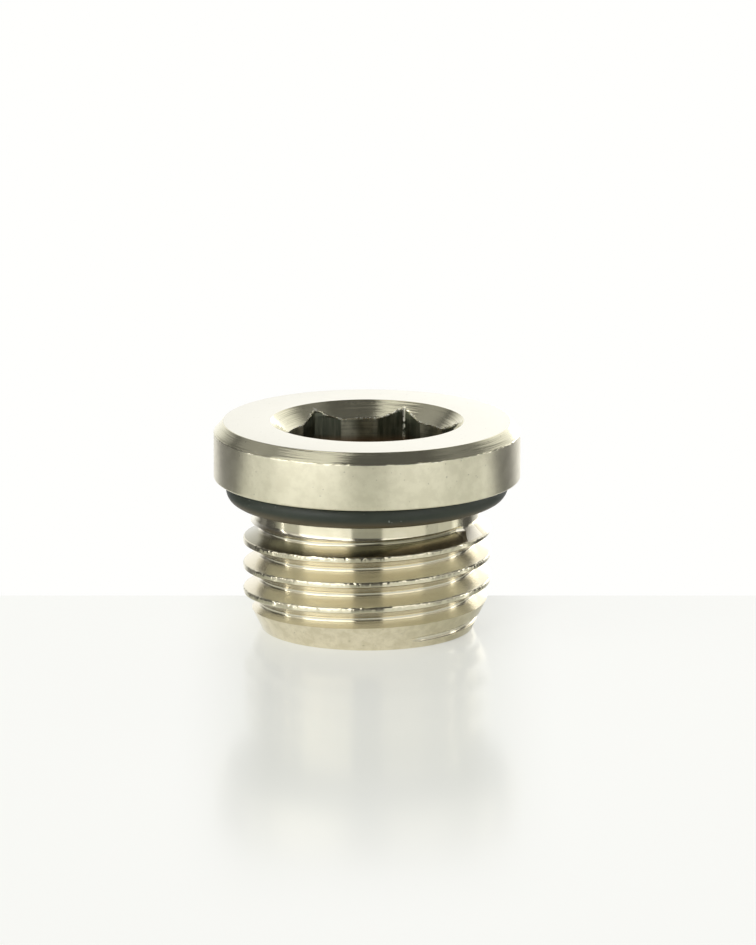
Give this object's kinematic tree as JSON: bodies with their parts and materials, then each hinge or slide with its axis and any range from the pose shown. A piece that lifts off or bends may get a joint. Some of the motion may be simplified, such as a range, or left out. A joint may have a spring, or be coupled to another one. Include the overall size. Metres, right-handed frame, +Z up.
{
  "type": "hex socket plug",
  "caption": "Round threaded blanking plug with a flat collar, an O-ring seated under it and a hexagon socket for the key that turns it.",
  "frame": {"origin": "centre of the nose end face, the face the plug stands on", "axes": "+Z up the plug's axis, from the nose to the collar's top face; one corner of the hexagon lies 5.6 degrees from +X, and the groove of the thread runs out on the +X side, 32 degrees towards -Y"},
  "size_m": [0.016, 0.016, 0.011],
  "materials": {
    "nickel_plate": "nickel-plated brass, turned, with fine tool marks",
    "black_rubber": "matt black rubber with a little dust"
  },
  "bodies": {
    "root": {"plug_body": "nickel_plate", "o_ring": "black_rubber"}
  },
  "joints": []
}
